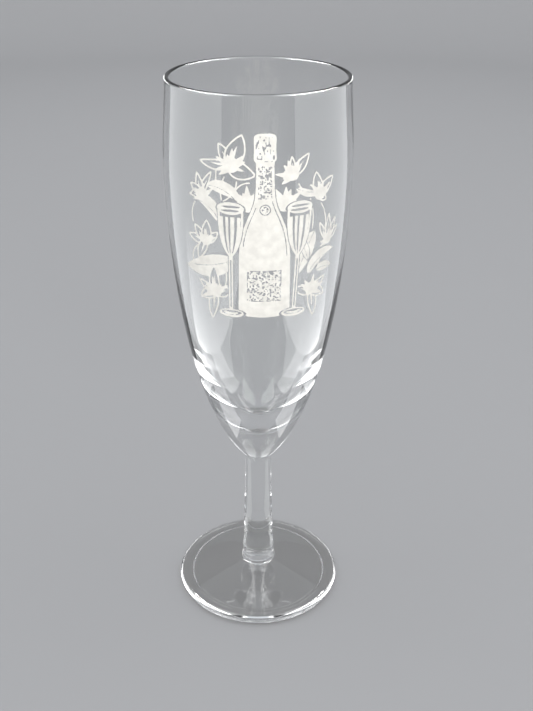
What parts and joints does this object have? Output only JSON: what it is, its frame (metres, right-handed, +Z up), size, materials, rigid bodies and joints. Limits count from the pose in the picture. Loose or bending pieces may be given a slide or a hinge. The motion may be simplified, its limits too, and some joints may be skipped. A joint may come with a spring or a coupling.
{
  "type": "champagne flute",
  "caption": "Clear glass champagne flute: tall tapered bowl on a solid base, a short rod stem and a round spun foot, with a matt engraved panel of a bottle, two flutes and sprays on the front.",
  "frame": {"origin": "centre of the plane that the foot rests on", "axes": "+Z up along the flute's axis; -Y towards the decorated front; +X to the right seen from the front"},
  "size_m": [0.0552, 0.0552, 0.175],
  "materials": {
    "clear_glass": "polished, fire-finished",
    "etched_glass": "matt, etched into the outside of the bowl"
  },
  "bodies": {
    "root": {"bowl": "clear_glass", "stem": "clear_glass", "foot": "clear_glass"}
  },
  "joints": []
}
